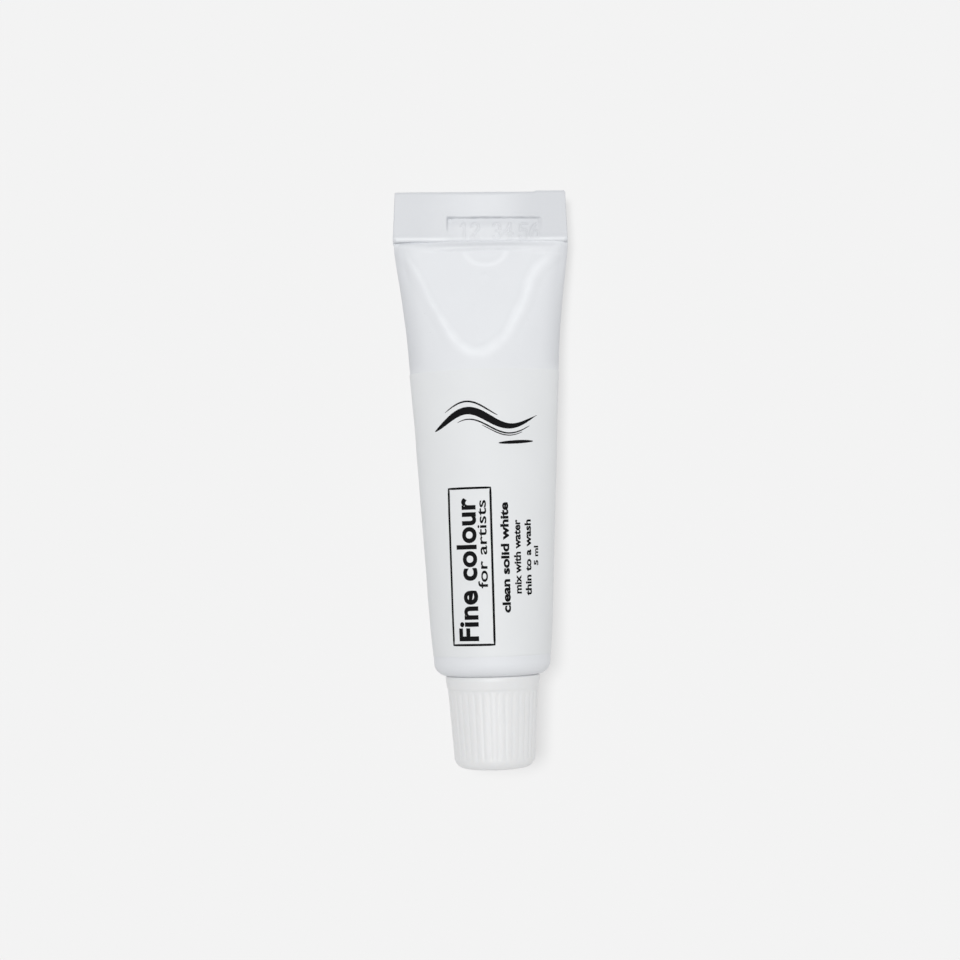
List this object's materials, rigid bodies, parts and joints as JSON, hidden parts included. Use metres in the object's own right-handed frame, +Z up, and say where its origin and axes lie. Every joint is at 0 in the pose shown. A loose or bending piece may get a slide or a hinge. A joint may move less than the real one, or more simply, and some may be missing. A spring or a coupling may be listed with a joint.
{
  "type": "paint tube",
  "caption": "Collapsible metal paint tube lying on its back, with a folded end, wrapped label, threaded nozzle and ribbed screw cap.",
  "frame": {"origin": "on the surface the tube lies on, under the middle of its box", "axes": "+Z up out of the surface, +Y along the tube towards the folded end, +X to the right seen from above with the fold at the top"},
  "size_m": [0.0206, 0.0674, 0.0136],
  "materials": {
    "tube_enamel": "satin white enamel on thin aluminium",
    "sealant": "matte latex",
    "label_film": "satin white film with black print",
    "paint_paste": "wet white paste",
    "cap_plastic": "satin moulded white plastic",
    "liner_foam": "matte foamed disc",
    "print_ink": "satin black printing ink"
  },
  "bodies": {
    "tube": {"tube_body": "tube_enamel", "fold_sealant": "sealant", "label": "label_film", "paint": "paint_paste"},
    "liner": {"cap_liner": "liner_foam"},
    "cap": {"cap": "cap_plastic"}
  },
  "joints": [
    {"name": "cap_lift", "type": "slide", "parent": "tube", "child": "liner", "axis": [0, -0.998, 0.064], "range_m": [0, 0.012]},
    {"name": "cap_turn", "type": "hinge", "parent": "liner", "child": "cap", "pos_m": [0.00001, -0.02718, 0.00726], "axis": [0, -0.998, 0.064], "range_deg": [0, 4320]}
  ],
  "couplings": [
    {"joint": "cap_turn", "follows": "cap_lift", "rad_per_m": 6283.2}
  ]
}
